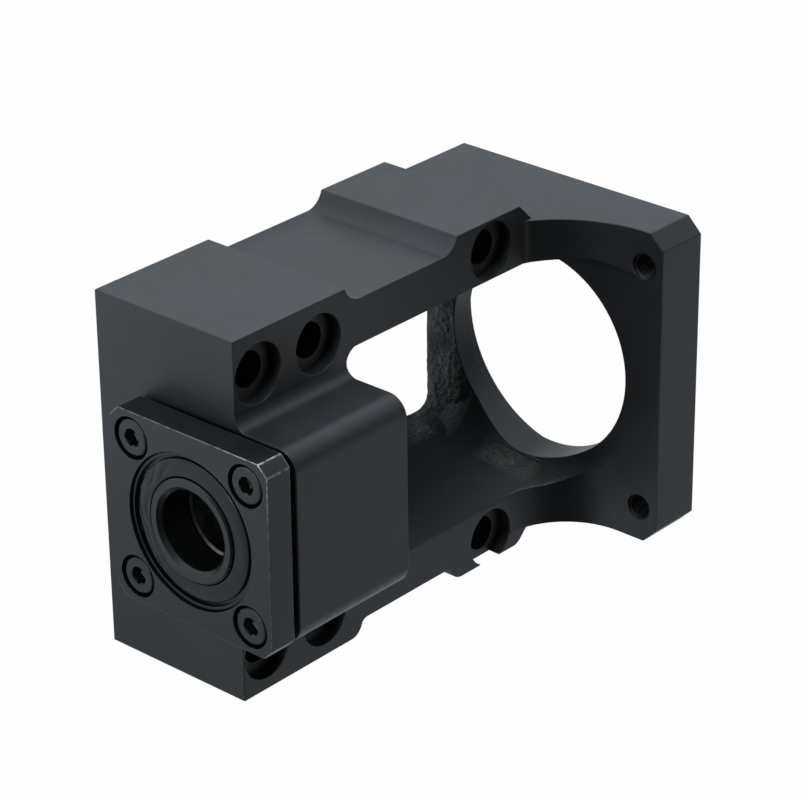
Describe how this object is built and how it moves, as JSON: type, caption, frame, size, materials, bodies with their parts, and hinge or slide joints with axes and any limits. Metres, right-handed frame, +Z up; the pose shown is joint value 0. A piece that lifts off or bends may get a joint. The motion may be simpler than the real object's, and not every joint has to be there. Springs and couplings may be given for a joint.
{
  "type": "ball screw end support",
  "caption": "Fixed-side ball screw support block with two side rails and a square motor flange, cast in one piece, with a bolted bearing cover.",
  "frame": {"origin": "on the base plane, midway between the four fixing holes of the support block, under the screw axis", "axes": "+X along the screw axis from the cover to the motor flange, +Z up from the base, +Y to the left"},
  "size_m": [0.1047, 0.07, 0.057],
  "materials": {
    "black_casting": "machined and black-oxide treated, matte; as-cast inside the coupling space",
    "black_cover": "black-oxide treated, satin, with edges worn bright",
    "black_screw": "black-oxide treated, satin",
    "seal_rubber": "glossy black",
    "black_collar": "black-oxide treated, satin",
    "bearing_steel": "ground and polished",
    "cage_resin": "plain"
  },
  "bodies": {
    "bracket": {"housing": "black_casting", "cover": "black_cover", "cover_screw_1": "black_screw", "cover_screw_2": "black_screw", "cover_screw_3": "black_screw", "cover_screw_4": "black_screw", "front_seal": "seal_rubber", "rear_seal": "seal_rubber", "outer_ring_1": "bearing_steel", "outer_ring_2": "bearing_steel"},
    "spindle": {"front_collar": "black_collar", "rear_collar": "black_collar", "inner_ring_1": "bearing_steel", "inner_ring_2": "bearing_steel"},
    "ball_set_1": {"balls_1": "bearing_steel", "cage_1": "cage_resin"},
    "ball_set_2": {"balls_2": "bearing_steel", "cage_2": "cage_resin"}
  },
  "joints": [
    {"name": "spindle_turn", "type": "hinge", "parent": "bracket", "child": "spindle", "pos_m": [0, 0, 0.028], "axis": [1, 0, 0], "continuous": true},
    {"name": "ball_set_1_turn", "type": "hinge", "parent": "bracket", "child": "ball_set_1", "pos_m": [0, 0, 0.028], "axis": [1, 0, 0], "continuous": true},
    {"name": "ball_set_2_turn", "type": "hinge", "parent": "bracket", "child": "ball_set_2", "pos_m": [0, 0, 0.028], "axis": [1, 0, 0], "continuous": true}
  ],
  "couplings": [
    {"joint": "ball_set_1_turn", "follows": "spindle_turn", "ratio": 0.4},
    {"joint": "ball_set_2_turn", "follows": "spindle_turn", "ratio": 0.4}
  ]
}
